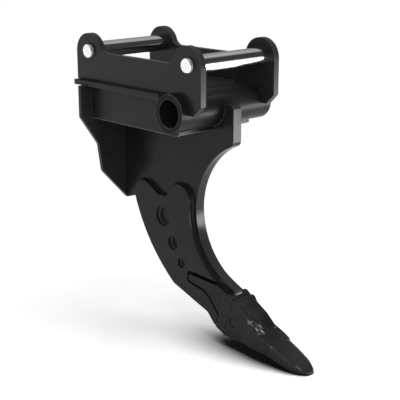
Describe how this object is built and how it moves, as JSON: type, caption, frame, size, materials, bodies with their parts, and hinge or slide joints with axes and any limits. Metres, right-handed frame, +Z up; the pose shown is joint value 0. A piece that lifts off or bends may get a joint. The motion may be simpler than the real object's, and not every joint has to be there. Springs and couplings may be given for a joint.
{
  "type": "excavator ripper with pin-on hanger, shank and tooth",
  "caption": "Black welded excavator ripper: hanger plates with bright hitch pins, cross tube, curved shank with cheek plates and a pinned cast tooth, for breaking hard ground",
  "frame": {"origin": "midway between the two hitch pin axes, on the centre plane between the hanger plates", "axes": "+X points forward, the way the tooth points; +Y to the left hanger plate; +Z up, from the tooth to the pins"},
  "size_m": [0.8225, 0.378, 0.8945],
  "materials": {
    "black_paint": "satin black paint over plate steel",
    "pin_steel": "ground and polished bright steel",
    "cast_paint": "glossier black paint over a steel casting"
  },
  "bodies": {
    "root": {"right_hanger_plate": "black_paint", "left_hanger_plate": "black_paint", "front_hitch_pin": "pin_steel", "rear_hitch_pin": "pin_steel", "front_right_pin_weld": "black_paint", "front_left_pin_weld": "black_paint", "rear_right_pin_weld": "black_paint", "rear_left_pin_weld": "black_paint", "base_plate": "black_paint", "back_plate": "black_paint", "right_box_plate": "black_paint", "left_box_plate": "black_paint", "right_floor_plate": "black_paint", "left_floor_plate": "black_paint", "cross_tube": "black_paint", "shank": "black_paint", "right_cheek_plate": "black_paint", "left_cheek_plate": "black_paint", "adapter": "cast_paint", "tooth": "cast_paint", "tooth_pin": "cast_paint", "pin_retainer": "pin_steel"}
  },
  "joints": []
}
